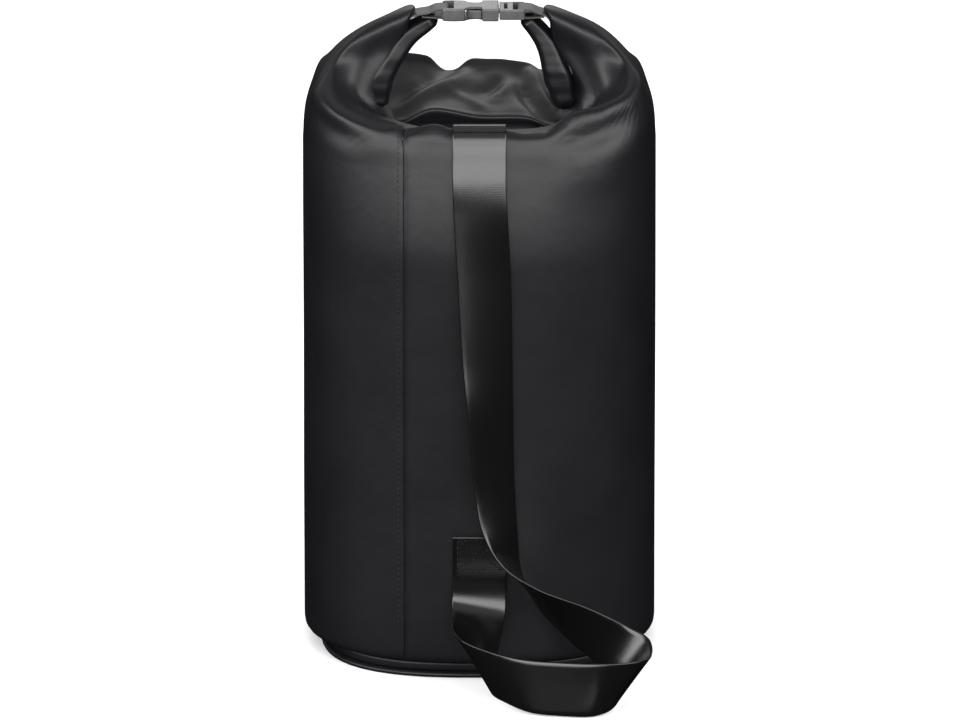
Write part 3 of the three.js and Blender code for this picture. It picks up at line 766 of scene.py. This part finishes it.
def webbing_piece(name, left, right, thickness, material, body, *nodes):
    """Flat webbing between two edge lines, given as (n, 3) arrays in millimetres."""
    middle = (left + right) / 2
    across = right - left
    width = float(np.linalg.norm(across, axis=-1).mean())
    along = unit(np.gradient(middle, axis=0))
    up = unit(np.cross(across, along))
    section = webbing_section(width, thickness)
    vertices, uvs = [], []
    lengths = np.concatenate([[0], np.cumsum(np.linalg.norm(np.diff(middle, axis=0), axis=-1))])
    for i in range(len(middle)):
        for x, h in section:
            vertices.append((middle[i] + across[i] * (x / width) + up[i] * h) * MM)
            uvs.append((x * MM, lengths[i] * MM))
    count = len(section)
    faces = grid_faces(len(middle), count, wrap_columns=True)
    faces.append(tuple(range(count - 1, -1, -1)))
    faces.append(tuple((len(middle) - 1) * count + j for j in range(count)))
    piece = make_mesh(name, vertices, faces, uvs)
    outward_faces(piece)
    piece.data.materials.append(material)
    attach(piece, body)
    if nodes:
        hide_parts(*nodes)
    return piece


def outward_faces(piece):
    mesh = bmesh.new()
    mesh.from_mesh(piece.data)
    bmesh.ops.recalc_face_normals(mesh, faces=mesh.faces)
    mesh.to_mesh(piece.data)
    mesh.free()


# The strap from inside the mouth over the ridge: (out, height), with both edges level.
STRAP_STEPS = 420
STRAP_UPPER = [(30, 406), (64, 416.5), (92, 423.5), (104, 426.8), (115, 428), (122.5, 425)]
STRAP_UPPER += [(126.7, 416), (130, 403), (134, 386)]
# From there down and round to its sewn end: its left and right edges.
STRAP_EDGES = [
    ((-19.5, -137.3, 362), (21.5, -137.1, 362)),
    ((-16.4, -144.5, 312), (24, -137.5, 312)),
    ((-13, -153.2, 254), (25, -137.8, 254)),
    ((-9.4, -159.3, 219), (25.4, -137.7, 219)),
    ((-5.9, -163.4, 177), (25.9, -137.6, 177)),
    ((-2.8, -166.6, 150), (26.8, -138.4, 150)),
    ((3.3, -172, 123), (28.7, -140, 119)),
    ((17.8, -174.6, 99.6), (32.2, -139.6, 84.4)),
    ((43.4, -171, 81.7), (46.6, -139.4, 56.3)),
    ((61, -166.3, 73.4), (61, -141.7, 40.6)),
    ((78, -163, 66.7), (76, -149, 28.3)),
    ((96, -164, 59), (90, -158, 19)),
    ((114, -170, 51.3), (100, -170, 12.7)),
    ((128.3, -184, 46.5), (107.2, -187, 9.4)),
    ((129.3, -203, 38.2), (104.7, -208, 5.8)),
    ((116, -222, 39), (97.5, -229, 2.6)),
    ((91, -234, 41), (85, -238.5, 1.1)),
    ((60, -231, 41.2), (60, -237.5, 1.3)),
    ((29.9, -224, 42), (38, -232, 2.3)),
    ((3, -214, 46.5), (19.8, -218, 6.1)),
    ((-13.5, -200, 50), (10, -208, 10)),
    ((-19.5, -183, 51.5), (10.5, -194, 19)),
    ((-21, -158, 51), (15.5, -163, 36.5)),
    ((-20.8, -142.6, 62.5), (19.6, -144.4, 55.5)),
    ((-20.5, -138.8, 79), (20.5, -138.8, 77)),
    ((-20.3, -138.3, 97), (20.7, -138.3, 97)),
    ((-20.3, -138.1, 114), (20.7, -138.1, 114)),
]


def build_strap(material):
    upper = [((-STRAP_WIDTH / 2, -out, z), (STRAP_WIDTH / 2, -out, z)) for out, z in STRAP_UPPER]
    stations = np.array(upper + STRAP_EDGES, dtype=float)
    ts = np.linspace(0, 1, STRAP_STEPS)
    left = np.array([catmull(stations[:, 0], t) for t in ts])
    right = np.array([catmull(stations[:, 1], t) for t in ts])
    webbing_piece("strap_webbing", left, right, STRAP_THICKNESS, material, "bag", "shoulder_strap")


TAB_HALF_WIDTH = 12.4
TAB_THICKNESS = 1.3
TAB_STEPS = 120
# The webbing from the buckle down the outside of each raised end: (out, height).
TAB_DOWN = {
    "left": [(51.5, 489.5), (58, 482), (66.5, 471), (75, 458), (81, 445)],
    "right": [(51.5, 489.5), (56, 482), (61.5, 471), (66.5, 458), (70.5, 445)],
}


def tab_line(key, side, bar_middle, bar_half):
    """The tab's middle line: doubled round the buckle's bar, then down the raised end."""
    reach = bar_half + 1.1
    points = [(17, -2.4), (12, -2.7), (7, -3.1), (0.5, -3.3), (-reach + 0.9, -3), (-reach, -1.5)]
    points += [(-reach, 1.5), (-reach + 0.9, 3), (0.5, 3.3), (7, 2.7), (12, 0.6)]
    line = [(side * (bar_middle + out), BUCKLE_Z + up) for out, up in points]
    line += [(side * x, z) for x, z in TAB_DOWN[key]]
    return np.array([(x, 0.0, z) for x, z in line])


def build_tabs(material):
    for key, side, bar, half in (("left", -1, 26.75, 1.75), ("right", 1, 32.45, 2.05)):
        line = tab_line(key, side, bar, half)
        middle = np.array([catmull(line, t) for t in np.linspace(0, 1, TAB_STEPS)])
        out = np.array([0, TAB_HALF_WIDTH, 0])
        webbing_piece(
            f"tab_{key}", middle - out, middle + out, TAB_THICKNESS, material,
            f"{key}_ear", f"webbing_tab_{key}",
        )


# ---------------------------------------------------------------- stitching

STITCH_PITCH = 4.2
STITCH_LENGTH = 3.1
THREAD_RADIUS = 0.34
THREAD_SIDES = 6
SEAM_STITCH_INSET = 5.0
# Along one stitch: (share of its length, share of the thread's radius, lift over the cloth).
STITCH_SHAPE = [(0, 0.2, -0.35), (0.15, 0.8, 0.0), (0.5, 1.0, 0.15), (0.85, 0.8, 0.0), (1, 0.2, -0.35)]
# The box that is sewn through the strap's end: its corners, and the sides and crossings between them.
BOX_CORNERS = [(-16.5, 88.0), (16.9, 88.0), (16.9, 111.0), (-16.5, 111.0)]
BOX_RUNS = ((0, 1), (1, 2), (2, 3), (3, 0), (0, 2), (1, 3))


def one_stitch(start, end, outward):
    """Rings of one raised stitch, as points in millimetres."""
    side = unit(np.cross(outward, unit(end - start)))
    rings = []
    for share, size, lift in STITCH_SHAPE:
        centre = start + (end - start) * share + outward * lift
        for a in np.arange(THREAD_SIDES) * 2 * math.pi / THREAD_SIDES:
            rings.append(centre + (side * math.cos(a) + outward * math.sin(a)) * THREAD_RADIUS * size)
    return rings


def along_line(place, lengths, values):
    """Values of a line, given at its lengths, at one place along it."""
    return np.array([np.interp(place, lengths, values[:, k]) for k in range(3)])


def stitched(name, runs, material):
    """Stitches along lines on the cloth, given as points and the directions out of the cloth."""
    vertices, faces = [], []
    for points, outward in runs:
        lengths = np.concatenate([[0], np.cumsum(np.linalg.norm(np.diff(points, axis=0), axis=-1))])
        for place in np.arange(0.5, lengths[-1] - STITCH_LENGTH, STITCH_PITCH):
            start = along_line(place, lengths, points)
            end = along_line(place + STITCH_LENGTH, lengths, points)
            out = along_line(place + STITCH_LENGTH / 2, lengths, outward)
            first = len(vertices)
            vertices += [v * MM for v in one_stitch(start, end, unit(out))]
            rings = len(STITCH_SHAPE)
            for face in grid_faces(rings, THREAD_SIDES, wrap_columns=True):
                faces.append(tuple(first + v for v in face))
            faces.append(tuple(first + v for v in range(THREAD_SIDES - 1, -1, -1)))
            last_ring = first + (rings - 1) * THREAD_SIDES
            faces.append(tuple(last_ring + v for v in range(THREAD_SIDES)))
    piece = make_mesh(name, vertices, faces)
    outward_faces(piece)
    piece.data.materials.append(material)
    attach(piece, "bag")


def build_stitching(turns, grid, wall_rows, material):
    """The lap seam's row of stitches, and the box that holds the strap's lower end."""
    column = int(np.argmin(np.abs((turns - seam_turn()) * WALL_ROUND + SEAM_STITCH_INSET)))
    rows = range(8, wall_rows + 20)
    line = np.array([grid[i, column] for i in rows])
    normals = grid_normals(grid, closed=True)
    out = np.array([normals[i, column] for i in rows])
    if out[0][1] > 0:
        out = -out
    runs = [(line, out)]
    for a, b in BOX_RUNS:
        steps = np.linspace(0, 1, 9)[:, None]
        flat = np.array(BOX_CORNERS[a]) * (1 - steps) + np.array(BOX_CORNERS[b]) * steps
        y = np.interp(flat[:, 1], [88, 97, 114], [-141.0, -139.3, -139.1])
        points = np.stack([flat[:, 0], y, flat[:, 1]], axis=-1)
        runs.append((points, np.tile([0.0, -1.0, 0.0], (9, 1))))
    stitched("stitching", runs, material)


# ---------------------------------------------------------------- base


BASE_COLUMNS = 300


def base_ring(inset, z):
    turns = np.arange(BASE_COLUMNS) / BASE_COLUMNS
    return ring_points(BASE_HALF_WIDTH - inset, BASE_HALF_DEPTH - inset, BASE_SQUARENESS, turns, z)


def base_piece(name, profile, closed, material, node):
    """A band (closed profile) or disc (open profile) with the base's outline, from (inset, height)."""
    rows = [base_ring(inset, z) for inset, z in profile]
    faces = grid_faces(len(rows), BASE_COLUMNS, wrap_columns=True, wrap_rows=closed)
    if not closed:
        faces.append(tuple(range(BASE_COLUMNS - 1, -1, -1)))
        faces.append(tuple((len(rows) - 1) * BASE_COLUMNS + j for j in range(BASE_COLUMNS)))
    piece = make_mesh(name, np.array(rows).reshape(-1, 3) * MM, faces)
    outward_faces(piece)
    piece.data.materials.append(material)
    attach(piece, "bag")
    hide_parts(node)


def rounded_band(inner, outer, low, high, corner):
    """Outline of a band with rounded outer corners, as (inset, height)."""
    points = [(inner, low)]
    for k in range(6):
        a = -math.pi / 2 + k * math.pi / 10
        points.append((outer + corner - corner * math.cos(a), low + corner + corner * math.sin(a)))
    for k in range(6):
        a = k * math.pi / 10
        points.append((outer + corner - corner * math.cos(a), high - corner + corner * math.sin(a)))
    points.append((inner, high))
    return points


def build_base(material):
    band = rounded_band(8.0, 3.6, 4.2, 11.6, 2.2)
    base_piece("binding_band", band, True, material, "base_binding")
    pad = [(2.2, 0.0), (0.7, 0.4), (0.0, 1.7), (0.3, 3.2), (2.4, 4.1)]
    base_piece("base_pad", pad, False, material, "base_panel")


# ---------------------------------------------------------------- pieces taken straight from the frame

BUCKLE_NODES = ("buckle_housing", "buckle_male_frame", "buckle_prong_back", "buckle_prong_front")
STIFFENER_NODES = (
    "base_board",
    "mouth_stiffener_middle",
    "mouth_stiffener_left_end",
    "mouth_stiffener_right_end",
)
LINER_NODES = ("seam_tape", "strap_backing_patch")


def dress_nodes(nodes, material):
    for node in nodes:
        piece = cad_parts[node]
        piece.data.materials.clear()
        piece.data.materials.append(material)


fabric = coated_fabric_material()
strap_webbing = webbing_material(
    "strap_nylon",
    dark=(0.001, 0.001, 0.001),
    light=(0.005, 0.005, 0.0049),
    rib=0.0013,
    chevron_half=0.006,
    roughness=0.19,
    specular=0.75,
)
tab_webbing = webbing_material(
    "tab_nylon",
    dark=(0.03, 0.028, 0.026),
    light=(0.075, 0.071, 0.067),
    rib=0.0011,
    chevron_half=0.004,
    roughness=0.42,
    specular=0.6,
)
buckle_plastic = plastic_material("buckle_acetal", (0.06, 0.058, 0.062), (0.085, 0.082, 0.088), 0.26)
stiffener_plastic = plastic_material("stiffener_sheet", (0.2, 0.21, 0.22), (0.25, 0.26, 0.27), 0.6)
thread = thread_material()

add_camera()
add_studio()
cloth = build_fabric(fabric)
build_stitching(*cloth, thread)
build_roll(fabric)
build_strap(strap_webbing)
build_tabs(tab_webbing)
build_base(fabric)
dress_nodes(BUCKLE_NODES, buckle_plastic)
dress_nodes(STIFFENER_NODES, stiffener_plastic)
dress_nodes(LINER_NODES, fabric)
